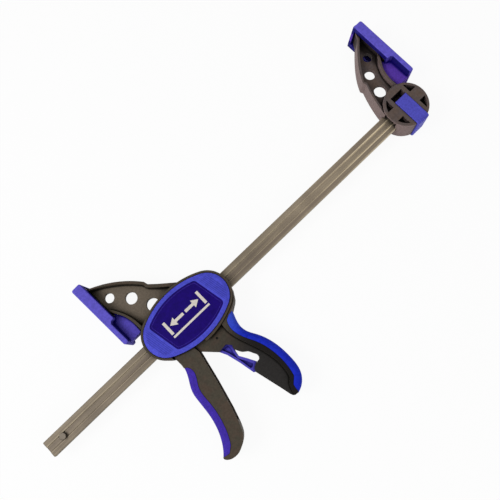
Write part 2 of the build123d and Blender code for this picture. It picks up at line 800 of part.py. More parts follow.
eye_x, eye_y = trigger_pivot
with BuildPart() as trigger:
    with BuildSketch(house):
        with BuildLine():
            ThreePointArc(
                (eye_x - trigger_eye, eye_y),
                (eye_x, eye_y + trigger_eye),
                (eye_x + trigger_eye, eye_y),
            )
            Polyline((eye_x - trigger_eye, eye_y), (-34.8, -20.5), (-34.6, -29.9), (-35, -33))
            trigger_border()
            Line((-63.2, -114.3), (-63.3, -115.9))
            Spline(
                (-63.3, -115.9),
                (-62.1, -117.7),
                (-58.3, -120.2),
                (-54, -trigger_drop),
                (-50.3, -120.9),
                (-46.2, -119.5),
                (-40.8, -116.2),
                (-36.8, -112.2),
                (-34.6, -108.4),
                (-31.6, -100.6),
                (-28.2, -89.7),
            )
            Polyline(
                (-28.2, -89.7),
                (-21.4, -62.6),
                (-14.8, -31.8),
                (-15.5, -28),
                (eye_x + trigger_eye, eye_y),
            )
        make_face()
    extrude(amount=trigger_thick / 2, both=True)
    # the channel between the flanges, open to the rear and above
    with BuildSketch(house):
        with BuildLine():
            Polyline(
                (-60, -19),
                (-31.9, -19),
                (-31.6, -30.5),
                (-28.2, -35.5),
                (-27.6, -41.8),
                (-30.2, -47.8),
                (-33.8, -55.3),
                (-36.2, -71.4),
                (-37.8, -84.8),
                (-40.7, -96.2),
                (-45.5, -107.5),
                (-34, -100),
                (-10, -100),
                (0, 0),
                (0, 40),
                (-60, 40),
                close=True,
            )
        make_face()
    extrude(amount=trigger_thick / 2 - trigger_wall, both=True, mode=Mode.SUBTRACT)
    with BuildSketch(house):
        with Locations(push_point):
            Circle(push_radius)
    extrude(amount=trigger_thick / 2, both=True)
    with BuildSketch(house):
        with Locations(trigger_pivot):
            Circle(trigger_pin_radius + running_gap)
    extrude(amount=trigger_thick, both=True, mode=Mode.SUBTRACT)
save(trigger.part, "trigger")

with BuildPart() as trigger_grip:
    with BuildSketch(house):
        with BuildLine():
            Spline(
                (-35, -33),
                (-38.5, -42),
                (-44.2, -53.5),
                (-45.6, -62),
                (-47.3, -80.5),
                (-55.3, -104),
                (-63.2, -114.3),
            )
            trigger_border()
        make_face()
    extrude(amount=trigger_grip_thick / 2, both=True)
    round_long_edges(trigger_grip, trigger_grip_edge)
save(trigger_grip.part, "trigger_grip")

with BuildPart() as trigger_pin:
    with BuildSketch(house):
        with Locations(trigger_pivot):
            Circle(trigger_pin_radius)
    extrude(amount=cover_floor + trigger_pin_seat, both=True)
    chamfer(trigger_pin.faces().filter_by(Axis.Z).edges(), length=stop_bevel)
save(trigger_pin.part, "trigger_pivot_pin")

# ================================================================ release lever
with BuildPart() as lever:
    with BuildSketch(house):
        with BuildLine():
            Polyline(
                (0.2, -34),
                (-2.2, -44.4),
                (1.3, -51.5),
                (5, -65.2),
                (7.9, -79.5),
                (9.6, -80.6),
                (12.8, -76.4),
                (16.7, -74.2),
                (12.1, -65.6),
                (8.1, -59),
                (8.9, -54.2),
                (10.7, -48.5),
                (10.2, -36.5),
                (21.7, -26.5),
                (21.7, -18.5),
                (18.2, -18.5),
                (17.6, -24),
                (8, -29.8),
                close=True,
            )
        make_face()
        with Locations(lever_pivot):
            Circle(lever_eye)
    extrude(amount=lever_thick / 2, both=True)
    with BuildSketch(house):
        with Locations(lever_pivot):
            Circle(lever_pin_radius + running_gap)
    extrude(amount=lever_thick, both=True, mode=Mode.SUBTRACT)
    # hollow on each side that leaves a web and the flanges
    for side in (1, -1):
        with BuildSketch(Plane(origin=(house_x, bar_y, mid_z + side * lever_thick / 2))):
            with BuildLine():
                Polyline(
                    (0.6, -44.6),
                    (3.4, -51),
                    (6.6, -63),
                    (8.6, -75),
                    (10.6, -75.4),
                    (13.2, -73.6),
                    (9.9, -66.8),
                    (6.2, -60.2),
                    (7, -54),
                    (8.4, -48.4),
                    (7.6, -45.4),
                    close=True,
                )
            make_face()
        extrude(amount=-side * lever_hollow, mode=Mode.SUBTRACT)
save(lever.part, "release_lever")

with BuildPart() as lever_pin:
    with BuildSketch(house):
        with Locations(lever_pivot):
            Circle(lever_pin_radius)
    extrude(amount=web_thick / 2 - lever_pin_recess, both=True)
save(lever_pin.part, "release_pivot_pin")


# ================================================================ drive plates and brake
def holed_plate(name, plane, thick, top, bottom, width):
    """Flat plate across the bar with the hole that the bar passes through."""
    with BuildPart() as plate:
        with BuildSketch(plane):
            with Locations((0, -bottom)):
                Rectangle(thick, bottom + top - thick / 2, align=(Align.CENTER, Align.MIN))
            with Locations((0, top - thick / 2)):
                Circle(thick / 2)
        extrude(amount=width / 2, both=True)
        fillet(plate.edges().filter_by(Axis(plane.origin, plane.x_dir)), radius=plate_corner)
        with BuildSketch(plane):
            Rectangle(2 * thick, bar_width + 2 * plate_hole_play)
        extrude(amount=bar_thick / 2 + free_gap, both=True, mode=Mode.SUBTRACT)
    save(plate.part, name)


first_plate = push_point[0] + push_radius + free_gap + drive_plate_thick / 2
for index, name in ((0, "drive_plate_front"), (1, "drive_plate_rear")):
    plate_x = house_x + first_plate + index * (drive_plate_thick + touch_gap)
    holed_plate(
        name,
        Plane(origin=(plate_x, bar_y, mid_z)),
        drive_plate_thick,
        drive_plate_top,
        drive_plate_bottom,
        drive_plate_width,
    )
brake_plane = Plane(origin=(house_x + brake_station, bar_y, mid_z)).rotated((0, 0, brake_tilt))
holed_plate(
    "brake_plate",
    brake_plane,
    brake_plate_thick,
    brake_plate_top,
    brake_plate_bottom,
    brake_plate_width,
)

spring_radius = bar_width / 2 + drive_wire
drive_spring_start = first_plate + 1.5 * drive_plate_thick + 2 * touch_gap
coil(
    "drive_spring",
    (house_x + drive_spring_start, bar_y, mid_z),
    (1, 0, 0),
    spring_seat - touch_gap - drive_spring_start,
    spring_radius,
    drive_wire,
    drive_turns,
)
brake_spring_start = spring_seat + rib_thick + touch_gap
brake_face = brake_station - brake_plate_thick / 2 - (spring_radius + brake_wire) * tan(radians(brake_tilt))
coil(
    "brake_spring",
    (house_x + brake_spring_start, bar_y, mid_z),
    (1, 0, 0),
    brake_face - touch_gap - brake_spring_start,
    spring_radius,
    brake_wire,
    brake_turns,
)
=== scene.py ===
import math

import bmesh
import bpy
from mathutils import Euler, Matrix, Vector


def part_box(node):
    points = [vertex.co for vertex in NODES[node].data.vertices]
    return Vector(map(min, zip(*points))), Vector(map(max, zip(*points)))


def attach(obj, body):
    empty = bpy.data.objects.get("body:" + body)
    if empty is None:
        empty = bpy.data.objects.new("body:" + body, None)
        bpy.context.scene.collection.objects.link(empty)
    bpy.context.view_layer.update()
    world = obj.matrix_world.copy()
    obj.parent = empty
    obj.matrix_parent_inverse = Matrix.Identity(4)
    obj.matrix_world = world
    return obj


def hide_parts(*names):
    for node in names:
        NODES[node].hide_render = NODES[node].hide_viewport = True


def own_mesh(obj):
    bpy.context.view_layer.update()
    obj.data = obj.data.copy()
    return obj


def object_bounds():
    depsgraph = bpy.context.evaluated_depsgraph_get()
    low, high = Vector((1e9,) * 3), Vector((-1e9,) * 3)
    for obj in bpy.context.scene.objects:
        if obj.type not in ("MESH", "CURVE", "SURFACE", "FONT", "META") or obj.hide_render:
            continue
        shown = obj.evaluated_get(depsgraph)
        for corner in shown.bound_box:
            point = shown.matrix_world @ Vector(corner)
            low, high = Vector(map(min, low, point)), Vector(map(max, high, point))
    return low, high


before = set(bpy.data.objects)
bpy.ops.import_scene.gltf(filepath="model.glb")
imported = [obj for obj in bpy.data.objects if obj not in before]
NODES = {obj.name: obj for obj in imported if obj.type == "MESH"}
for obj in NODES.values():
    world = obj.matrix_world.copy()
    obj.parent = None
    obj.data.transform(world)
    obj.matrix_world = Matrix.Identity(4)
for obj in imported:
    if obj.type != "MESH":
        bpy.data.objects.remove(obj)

cad_low, cad_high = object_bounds()

bl_info = {
    "name": "Quick Release Bar Clamp",
    "version": (1, 0, 0),
    "blender": (4, 5, 0),
    "location": "View3D > Sidebar > Bar Clamp",
    "description": "Finishes, springs, label print and studio for a one-handed bar clamp",
    "category": "Object",
}

MM = 0.001


def middle_of(node):
    """Middle of a node's box."""
    low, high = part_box(node)
    return (low + high) / 2


BAR_MIDDLE = middle_of("bar")
COVER_MIDDLE = middle_of("upper_cover")
FIXED_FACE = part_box("fixed_jaw_pad")[1].x
COVER_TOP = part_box("upper_cover")[1].z - BAR_MIDDLE.z
LABEL_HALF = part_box("upper_label_plate")[1].x - middle_of("upper_label_plate").x
LABEL_END = LABEL_HALF - 2.2 * MM  # less the run of the slant
LABEL_SLANT = 0.19  # sideways run of the label's ends
RIB_START = 2.4 * MM  # first rib of a cover, beyond the label
RIB_END = 11.5 * MM
RIB_PITCH = 1.7 * MM
FLUTE_HIGHLIGHT = (2.8 * MM, 3.4 * MM)  # painted highlight along the edges of the bar's flute, from its middle
POCKET_REACH = 12 * MM
CORNER_REACH = 3 * MM
FLOOR_REACH = 6
FLOOR_SEEN = 0.93  # share of the floor that shows as plain white
KEY_PLACE = (-0.65, 0.35, 0.95)
KEY_SIZE = 0.6
FILL_PLACE = (-0.3, -0.8, 0.85)
FILL_SIZE = 0.8


def linear(code):
    """Linear colour of a six-digit sRGB code."""
    parts = [int(code[i : i + 2], 16) / 255 for i in (0, 2, 4)]
    return tuple(c / 12.92 if c <= 0.04045 else ((c + 0.055) / 1.055) ** 2.4 for c in parts)


# ------------------------------------------------------------------ settings
def colour_setting(name, description, code):
    """Colour that a user can change."""
    return bpy.props.FloatVectorProperty(
        name=name, description=description, subtype="COLOR", size=3, min=0, max=1, default=linear(code)
    )


def length_setting(name, description, millimetres):
    """Length that a user can change."""
    return bpy.props.FloatProperty(
        name=name, description=description, default=millimetres * MM, min=0, subtype="DISTANCE", unit="LENGTH"
    )


class ClampColours(bpy.types.PropertyGroup):
    """Colours of the clamp's materials"""

    nylon: colour_setting("Nylon", "Glass-filled nylon of the housing, handle and trigger", "4B463C")
    nylon_warm: colour_setting("Nylon, warm", "Browner clouds in the nylon", "52463C")
    # painted light: a lighter copy of the nylon for the moving arm's web
    nylon_web: colour_setting("Nylon, arm web", "Lighter web of the moving arm", "72675A")
    # painted shade: darker copies of the nylon for the handle and, darkest, its rim
    nylon_handle: colour_setting("Nylon, handle", "Darker web of the handle", "2F2D2C")
    nylon_rim: colour_setting("Nylon, handle rim", "Darkest rim of the handle", "1D1A19")
    jaw: colour_setting("Fixed jaw", "Nylon of the fixed jaw", "625857")
    jaw_warm: colour_setting("Fixed jaw, warm", "Browner clouds in the fixed jaw", "66574F")
    # painted light: a lighter copy of the jaw's nylon for its outer walls
    jaw_side: colour_setting("Fixed jaw, sides", "Outer walls of the fixed jaw", "8B7875")
    cover: colour_setting("Cover", "Moulded side covers", "4E51CC")
    label: colour_setting("Label", "Printed plate in each cover", "1B0768")
    keyline: colour_setting("Keyline", "Thin line printed round each label", "3A2A96")
    sign: colour_setting("Sign", "Spreading sign printed on each label", "E9E1D6")
    pad: colour_setting("Pad", "Soft jaw pads", "6259C6")
    fixed_tongue: colour_setting("Fixed pad, tongue", "More violet tongue below the fixed pad", "6845BE")
    moving_tongue: colour_setting("Moving pad, tongue", "Tongue below the moving pad", "5C50C0")
    # painted shade: the colour that the blue parts are drawn towards in their pockets, corners and inward
    # walls
    blue_shade: colour_setting("Deep blue", "Blue plastic deep in its corners", "050366")
    grip: colour_setting("Handle grip", "Soft grip on the handle", "1B2CBC")
    grip_neck: colour_setting("Handle grip, neck", "Lighter top end of the soft grip", "3C55D8")
    trigger_grip: colour_setting("Trigger grip", "Soft grip on the trigger", "432FA6")
    lever: colour_setting("Release lever", "Moulded release lever", "534BB8")
    button: colour_setting("Lock button", "Slider that locks the fixed jaw", "5655C2")
    bar: colour_setting("Bar", "Drawn steel of the bar", "776A5C")
    # this tints the bar's broad streaks and also the painted highlights along its flute and edges
    bar_bright: colour_setting("Bar, bright", "Rubbed streaks on the bar", "A69980")
    pin: colour_setting("Pins", "Steel of the stop pins", "5C554C")
    oxide: colour_setting("Pivot pins", "Black oxide of the pivot pins", "1B1917")
    plate: colour_setting("Plates", "Hardened drive and brake plates", "5A5A60")
    spring: colour_setting("Springs", "Spring wire", "9A9A9E")


class ClampSizes(bpy.types.PropertyGroup):
    """Sizes of the springs, the print and the ribs"""

    drive_wire: length_setting("Drive spring wire", "Wire diameter of the drive spring", 1.2)
    brake_wire: length_setting("Brake spring wire", "Wire diameter of the brake spring", 0.8)
    lock_wire: length_setting("Lock spring wire", "Wire diameter of the jaw lock spring", 0.4)
    keyline_inset: length_setting("Keyline inset", "From the label's edge to the keyline", 1.7)
    keyline_width: length_setting("Keyline width", "Width of the keyline", 0.45)
    rib_depth: length_setting("Rib depth", "Depth of the grooves between the ribs of the covers", 0.25)
    print_height: length_setting("Print height", "Height of what is printed on the labels", 0.05)
    edge_round: length_setting("Edge rounding", "Rounding that moulded edges catch the light with", 0.35)


class ClampStudio(bpy.types.PropertyGroup):
    """Camera, lamps and floor"""

    camera_place: bpy.props.FloatVectorProperty(
        name="Camera place", description="Where the camera stands", subtype="TRANSLATION", unit="LENGTH",
        default=(-0.04467, -0.0692, 0.62645),
    )
    camera_turn: bpy.props.FloatVectorProperty(
        name="Camera turn", description="Rotation of the camera", subtype="EULER", unit="ROTATION",
        default=(math.radians(9.707), math.radians(1.975), math.radians(-44.047)),
    )
    lens: bpy.props.FloatProperty(name="Lens", description="Focal length in mm", default=46.8, min=10)
    key_power: bpy.props.FloatProperty(name="Key lamp", description="Watts", default=6, min=0)
    fill_power: bpy.props.FloatProperty(name="Fill lamp", description="Watts", default=2, min=0)
    sky: bpy.props.FloatProperty(name="Sky", description="Strength of the even light", default=0.42, min=0)
    floor: colour_setting("Floor", "Floor colour", "F6F6F6")


# ------------------------------------------------------------------ shader maths
class Field:
    """A value that varies over a surface; arithmetic on it adds Math nodes."""

    def __init__(self, nodes, socket):
        self.nodes = nodes
        self.socket = socket

    def maths(self, operation, first, second):
        return self.nodes.node("ShaderNodeMath", {"operation": operation}, {0: first, 1: second})

    def __add__(self, other):
        return self.maths("ADD", self, other)

    def __radd__(self, other):
        return self.maths("ADD", other, self)

    def __sub__(self, other):
        return self.maths("SUBTRACT", self, other)

    def __rsub__(self, other):
        return self.maths("SUBTRACT", other, self)

    def __mul__(self, other):
        return self.maths("MULTIPLY", self, other)

    def __rmul__(self, other):
        return self.maths("MULTIPLY", other, self)


class Nodes:
    """A node tree that is built node by node."""

    def __init__(self, tree):
        self.tree = tree

    def node(self, kind, settings=None, inputs=None, output=0):
        """Adds a node of a type: its settings first, then the values or links of its sockets."""
        made = self.tree.nodes.new(kind)
        for name, value in (settings or {}).items():
            setattr(made, name, value)
        for key, value in (inputs or {}).items():
            if isinstance(value, Field):
                self.tree.links.new(value.socket, made.inputs[key])
            else:
                made.inputs[key].default_value = value
        return Field(self, made.outputs[output])

    def seen(self):
        """1 for what the camera sees, also in reflections and through clear pieces."""
        camera = self.node("ShaderNodeLightPath", output="Is Camera Ray")
        glossy = self.node("ShaderNodeLightPath", output="Is Glossy Ray")
        clear = self.node("ShaderNodeLightPath", output="Is Transmission Ray")
        return self.node(
            "ShaderNodeMath", {"operation": "ADD", "use_clamp": True}, {0: camera + glossy, 1: clear}
        )


class Finish(Nodes):
    """A material for one finish of the clamp."""

    def __init__(self, name):
        self.material = bpy.data.materials.new(name)
        self.material.use_nodes = True
        super().__init__(self.material.node_tree)
        self.shader = self.tree.nodes["Principled BSDF"]

    def feed(self, **inputs):
        """Sets or links sockets of the shader, by their names with spaces as underscores."""
        for name, value in inputs.items():
            socket = self.shader.inputs[name.replace("_", " ")]
            if isinstance(value, Field):
                self.tree.links.new(value.socket, socket)
            else:
                socket.default_value = value

    def place(self, stretch=(1, 1, 1)):
        """Where the point is on the piece, in metres, with each axis scaled."""
        where = self.node("ShaderNodeTexCoord", output="Object")
        return self.node("ShaderNodeVectorMath", {"operation": "MULTIPLY"}, {0: where, 1: stretch})

    def along(self, axis, start=0.0):
        """How far the point lies from a start along x, y or z, in metres."""
        return self.node("ShaderNodeSeparateXYZ", {}, {0: self.place()}, output=axis) - start

    def size_of(self, value):
        """A value without its sign."""
        return self.node("ShaderNodeMath", {"operation": "ABSOLUTE"}, {0: value})

    def ridges(self, value, pitch):
        """Even ridges from 0 to 1, one for each pitch of the value."""
        turn = self.node("ShaderNodeMath", {"operation": "SINE"}, {0: value * (2 * math.pi / pitch)})
        return turn * 0.5 + 0.5

    def band(self, value, low, high, soft):
        """1 where the value lies between low and high, with soft ends."""
        return self.step(value, low - soft, low) * (1 - self.step(value, high, high + soft))

    def noise(self, size, detail=2, roughness=0.5, stretch=(1, 1, 1)):
        """Noise from 0 to 1 whose clouds are about size across, in metres."""
        return self.node(
            "ShaderNodeTexNoise",
            {"normalize": True},
            {"Vector": self.place(stretch), "Scale": 1 / size, "Detail": detail, "Roughness": roughness},
        )

    def step(self, value, low, high, bottom=0, top=1):
        """Smooth step of a value from bottom to top, between low and high."""
        return self.node(
            "ShaderNodeMapRange",
            {"interpolation_type": "SMOOTHSTEP", "clamp": True},
            {"Value": value, "From Min": low, "From Max": high, "To Min": bottom, "To Max": top},
        )

    def mix(self, factor, first, second):
        """Colour between two colours."""
        return self.node(
            "ShaderNodeMix",
            {"data_type": "RGBA", "clamp_factor": True},
            {0: factor, 6: opaque(first), 7: opaque(second)},
            output=2,
        )

    def rounded(self, radius):
        """Surface normal with its sharp edges rounded."""
        return self.node("ShaderNodeBevel", {"samples": 6}, {"Radius": radius})

    def edges(self, normal):
        """1 along outer and inner edges and 0 on flat surfaces."""
        plain = self.node("ShaderNodeNewGeometry", output="Normal")
        same = self.node(
            "ShaderNodeVectorMath", {"operation": "DOT_PRODUCT"}, {0: normal, 1: plain}, output="Value"
        )
        return self.step(1 - same, 0.02, 0.25)

    def facing(self, axis):
        """How much the surface faces along x, y or z, from -1 to 1."""
        plain = self.node("ShaderNodeNewGeometry", output="Normal")
        return self.node("ShaderNodeSeparateXYZ", {}, {0: plain}, output=axis)

    def crevices(self, reach, low, high):
        """1 deep in corners and slots and 0 in the open; a corner of two walls shuts out half the light."""
        light = self.node("ShaderNodeAmbientOcclusion", {"samples": 8}, {"Distance": reach}, output="AO")
        return self.step(1 - light, low, high)

    def bump(self, height, depth, normal=None):
        """Normal that a height of some depth tilts."""
        inputs = {"Height": height, "Distance": depth, "Strength": 1.0}
        if normal is not None:
            inputs["Normal"] = normal
        return self.node("ShaderNodeBump", {}, inputs)


def opaque(colour):
    """A colour with full alpha, or the field that it comes from."""
    if isinstance(colour, Field):
        return colour
    return (*tuple(colour)[:3], 1.0)


def scaled(colour, amount):
    """A colour made darker or lighter, up to white."""
    return tuple(min(1.0, c * amount) for c in tuple(colour)[:3])


# ------------------------------------------------------------------ finishes
def moulded(
    name, colour, second, *, cloud, gloss, grain, grain_depth, edge_highlight, edge_round,
    deep=None, corner_shade=0.95, shade=0.7, shine=0.06, regions=(), relief=None, relief_depth=0.0,
):
    """Moulded plastic: clouds of two tints, fine grain, a painted highlight along the edges and painted shade
    in pockets, corners and, where there are ribs, their grooves.
    """
    finish = Finish(name)
    clouds = finish.step(finish.noise(cloud, detail=5, roughness=0.6), 0.35, 0.65)
    flow = finish.noise(cloud * 0.2, detail=3)
    # deep is the colour of the painted shade, near black unless one is given
    deep = scaled(colour, 0.04) if deep is None else deep
    body = finish.mix(clouds, colour, second)
    for mask, tone in regions:
        body = finish.mix(mask(finish), body, tone)
    flows = finish.step(flow, 0.3, 0.7, 0.84, 1.06)
    body = finish.node("ShaderNodeVectorMath", {"operation": "SCALE"}, {0: body, "Scale": flows})
    normal = finish.rounded(edge_round)
    edges = finish.edges(normal)
    # painted highlight: edges are drawn lighter than the rest of the surface
    body = finish.mix(edges * 0.6, body, scaled(colour, edge_highlight))
    # painted shade: pockets are drawn darker, towards the deep colour
    pockets = finish.crevices(POCKET_REACH, 0.4, 0.68)
    body = finish.mix(pockets * shade, body, deep)
    # painted shade: the feet of walls and narrow corners are drawn near black
    corners = finish.crevices(CORNER_REACH, 0.1, 0.36)
    body = finish.mix(corners * corner_shade, body, deep)
    fine = finish.noise(grain, detail=2)
    if relief is not None:
        raised = relief(finish)
        normal = finish.bump(raised, relief_depth, normal)
        # painted shade: the grooves between the raised ribs are drawn darker
        body = finish.mix(0.3 * (1 - raised), body, deep)
    finish.feed(
        Base_Color=body,
        Roughness=gloss + 0.08 + 0.14 * (flow - 0.5) + 0.12 * corners,
        Specular_IOR_Level=shine,
        Normal=finish.bump(fine + 0.6 * flow, grain_depth, normal),
    )
    return finish


def drawn_steel(name, colour, bright, edge_round):
    """Drawn and oxidised bar steel: long drawn streaks and brown clouds, with painted highlights along the
    flute and the edges, and painted shade near the housing and in corners.
    """
    finish = Finish(name)
    streaks = finish.noise(1.0 * MM, detail=4, roughness=0.65, stretch=(0.012, 1, 1))
    broad = finish.noise(4.5 * MM, detail=3, stretch=(0.03, 1, 1))
    clouds = finish.noise(26 * MM, detail=4, roughness=0.6)
    across = finish.size_of(finish.along(1, BAR_MIDDLE.y))
    # painted highlight: bright bands along the flute's edges and near the bar's outer edges, stronger towards
    # the fixed jaw
    flute_highlight = finish.band(across, *FLUTE_HIGHLIGHT, 0.8 * MM) + finish.step(across, 7.4 * MM, 8.4 * MM, 0, 0.4)
    highlight_reach = finish.step(finish.along(0), 100 * MM, 210 * MM, 0.4, 1)
    past = finish.along(0, COVER_MIDDLE.x)
    # painted shade: the bar is drawn darker at and behind the housing, and brighter well past it
    level = finish.step(past, -40 * MM, 10 * MM, 0.64, 0.76)
    level = level + finish.step(past, 80 * MM, 150 * MM, 0, 0.31)
    lines = finish.step(past, 120 * MM, 220 * MM, 1.6, 2.2)
    body = finish.mix(finish.step(broad, 0.35, 0.68, 0, 0.45), colour, bright)
    highlight_tone = finish.node("ShaderNodeVectorMath", {"operation": "SCALE"}, {0: tuple(bright)[:3], "Scale": lines})
    body = finish.mix(flute_highlight * highlight_reach * finish.step(broad, 0.2, 0.6, 0.55, 1), body, highlight_tone)
    body = finish.mix(finish.step(streaks, 0.45, 0.75, 0, 0.35), body, scaled(colour, 0.5))
    body = finish.mix(finish.step(clouds, 0.45, 0.7, 0, 0.35), body, scaled(colour, 0.75))
    body = finish.node("ShaderNodeVectorMath", {"operation": "SCALE"}, {0: body, "Scale": level})
    normal = finish.rounded(edge_round)
    edges = finish.edges(normal)
    # painted highlight: the bar's edges are drawn lighter
    body = finish.mix(edges * 0.45, body, scaled(bright, 1.25))
    # painted shade: corners, such as where the bar enters the fixed jaw's mouth, are drawn near black
    corners = finish.crevices(9 * MM, 0.3, 0.55)
    body = finish.mix(corners * 0.9, body, scaled(colour, 0.05))
    finish.feed(
        Base_Color=body,
        Metallic=0.75 - 0.35 * clouds,
        Roughness=0.34 + 0.22 * streaks + 0.12 * clouds,
        Normal=finish.bump(streaks, 0.05 * MM, normal),
    )
    return finish


def turned_steel(name, colour, size, edge_round, stretch=(1, 1, 1), gloss=0.3):
    """Steel of pins, plates and spring wire, with fine marks and a little dark oil."""
    finish = Finish(name)
    marks = finish.noise(size, detail=4, roughness=0.6, stretch=stretch)
    oil = finish.noise(7 * MM, detail=3)
    body = finish.mix(finish.step(marks, 0.35, 0.7, 0, 0.6), scaled(colour, 0.75), scaled(colour, 1.3))
    body = finish.mix(finish.step(oil, 0.5, 0.75, 0, 0.5), body, scaled(colour, 0.35))
    normal = finish.rounded(edge_round)
    # painted highlight: edges are drawn lighter
    body = finish.mix(finish.edges(normal) * 0.5, body, scaled(colour, 1.8))
    finish.feed(
        Base_Color=body,
        Metallic=0.9,
        Roughness=gloss + 0.2 * marks + 0.1 * oil,
        Normal=finish.bump(marks, 0.02 * MM, normal),
    )
    return finish


def dress(finish, *names):
    """Puts a finish on CAD nodes, in their material slots."""
    for name in names:
        slots = NODES[name].material_slots
        if not slots:
            NODES[name].data.materials.append(finish.material)
        for slot in slots:
            slot.material = finish.material


# ------------------------------------------------------------------ meshes
def piece_from(name, mesh, finish, body, smooth=True):
    """Turns a bmesh into a piece that rides on a body."""
    bmesh.ops.recalc_face_normals(mesh, faces=mesh.faces)
    data = bpy.data.meshes.new(name)
    mesh.to_mesh(data)
    mesh.free()
    data.polygons.foreach_set("use_smooth", [smooth] * len(data.polygons))
    data.materials.append(finish.material)
    piece = bpy.data.objects.new(name, data)
    bpy.context.scene.collection.objects.link(piece)
    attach(piece, body)
    return piece


def spring_mesh(low, high, axis, wire, turns, dead_turns=1.0, steps=28, sides=10):
    """Coil of wire that fills a box along one axis, with closed ends."""
    centre = (low + high) / 2
    side_axes = [i for i in range(3) if i != axis]
    radius = (high[side_axes[0]] - low[side_axes[0]]) / 2 - wire / 2
    start, end = low[axis] + wire / 2, high[axis] - wire / 2
    count = int((turns + 2 * dead_turns) * steps)
    mesh = bmesh.new()
    rings = []
    for i in range(count + 1):
        turn = i / steps
        dead = dead_turns * wire * 1.02
        if turn < dead_turns:
            along = start + wire * 1.02 * turn
        elif turn > turns + dead_turns:
            along = end - wire * 1.02 * (turns + 2 * dead_turns - turn)
        else:
            along = start + dead + (end - start - 2 * dead) * (turn - dead_turns) / turns
        angle = 2 * math.pi * turn
        ring = []
        for j in range(sides):
            around = 2 * math.pi * j / sides
            out = radius + math.cos(around) * wire / 2
            point = [0.0, 0.0, 0.0]
            point[axis] = along + math.sin(around) * wire / 2
            point[side_axes[0]] = centre[side_axes[0]] + out * math.cos(angle)
            point[side_axes[1]] = centre[side_axes[1]] + out * math.sin(angle)
            ring.append(mesh.verts.new(point))
        rings.append(ring)
    for a, b in zip(rings, rings[1:]):
        for j in range(sides):
            k = (j + 1) % sides
            mesh.faces.new((a[j], a[k], b[k], b[j]))
    mesh.faces.new(rings[0])
    mesh.faces.new(list(reversed(rings[-1])))
    return mesh


def flat_outline(node, top, count=160):
    """Outline of a node's flat side as evenly spaced points, round its middle."""
    low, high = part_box(node)
    level = high.z if top else low.z
    points = [v.co.copy() for v in NODES[node].data.vertices if abs(v.co.z - level) < 1e-5]
    middle = (low + high) / 2
    points.sort(key=lambda p: math.atan2(p.y - middle.y, p.x - middle.x))
    ring = [points[0]]
    for point in points[1:]:
        if (point - ring[-1]).length > 1e-5:
            ring.append(point)
    if (ring[0] - ring[-1]).length < 1e-5:
        ring.pop()
    lengths = [(ring[(i + 1) % len(ring)] - ring[i]).length for i in range(len(ring))]
    total = sum(lengths)
    spaced = []
    i, walked = 0, 0.0
    for step in range(count):
        target = total * step / count
        while walked + lengths[i] < target:
            walked += lengths[i]
            i += 1
        share = (target - walked) / lengths[i]
        spaced.append(ring[i].lerp(ring[(i + 1) % len(ring)], share))
    return spaced


def inset(points, distance):
    """Points of a convex outline moved inwards."""
    moved = []
    for i, point in enumerate(points):
        along = points[(i + 1) % len(points)] - points[i - 1]
        inward = Vector((-along.y, along.x, 0)).normalized()
        moved.append(point + inward * distance)
    return moved


def keyline_mesh(points, start, width, thick, up):
    """Thin raised line that follows an outline."""
    mesh = bmesh.new()
    outer = inset(points, start)
    inner = inset(points, start + width)
    rows = []
    for a, b in zip(outer, inner):
        mid = (a + b) / 2
        rows.append(
            [
                mesh.verts.new(a),
                mesh.verts.new(a + Vector((0, 0, up * thick))),
                mesh.verts.new(mid + Vector((0, 0, up * thick * 1.2))),
                mesh.verts.new(b + Vector((0, 0, up * thick))),
                mesh.verts.new(b),
            ]
        )
    for i, row in enumerate(rows):
        after = rows[(i + 1) % len(rows)]
        for j in range(5):
            k = (j + 1) % 5
            mesh.faces.new((row[j], row[k], after[k], after[j]))
    return mesh


def spread_sign():
    """Plain sign for spreading: a bar, two jaws on it and arrows that point outwards, in millimetres."""
    arrow = [
        (17.5, 3), (11, 7.2), (11, 4.4), (1.2, 4.4), (1.2, 1.6), (11, 1.6), (11, -1.2),
    ]
    return [
        arrow,
        [(-x, y) for x, y in reversed(arrow)],
        [(-22, -8.2), (22, -8.2), (22, -6.2), (-22, -6.2)],
        [(19.2, -4.6), (22, -4.6), (22, 9.4), (19.2, 9.4)],
        [(-22, -4.6), (-19.2, -4.6), (-19.2, 9.4), (-22, 9.4)],
    ]


def shift(shape, x, y):
    """A shape in millimetres, moved to a place in metres."""
    return [(x + px * MM, y + py * MM) for px, py in shape]


def raised_shapes(shapes, level, thick):
    """Flat shapes raised from a level by a thickness."""
    mesh = bmesh.new()
    for shape in shapes:
        foot = [mesh.verts.new((x, y, level)) for x, y in shape]
        head = [mesh.verts.new((x, y, level + thick)) for x, y in shape]
        mesh.faces.new(head)
        mesh.faces.new(list(reversed(foot)))
        for i in range(len(shape)):
            k = (i + 1) % len(shape)
            mesh.faces.new((foot[i], foot[k], head[k], head[i]))
    return mesh


# ------------------------------------------------------------------ pieces
def settings():
    """Colours, sizes and studio of the scene."""
    scene = bpy.context.scene
    return scene.clamp_colours, scene.clamp_sizes, scene.clamp_studio


class CLAMP_OT_bar(bpy.types.Operator):
    """Finishes the bar and the stop pins pressed into it"""

    bl_idname = "clamp.bar"
    bl_label = "Bar and stop pins"

    def execute(self, context):
        colours, sizes, _ = settings()
        dress(drawn_steel("drawn_bar_steel", colours.bar, colours.bar_bright, 0.3 * MM), "bar")
        pins = turned_steel("turned_pin_steel", colours.pin, 0.8 * MM, 0.2 * MM, gloss=0.3)
        dress(pins, "front_stop_pin", "rear_stop_pin")
        oxide = turned_steel("pivot_pin_steel", colours.oxide, 0.8 * MM, 0.1 * MM, gloss=0.45)
        dress(oxide, "trigger_pivot_pin", "release_pivot_pin")
        return {"FINISHED"}


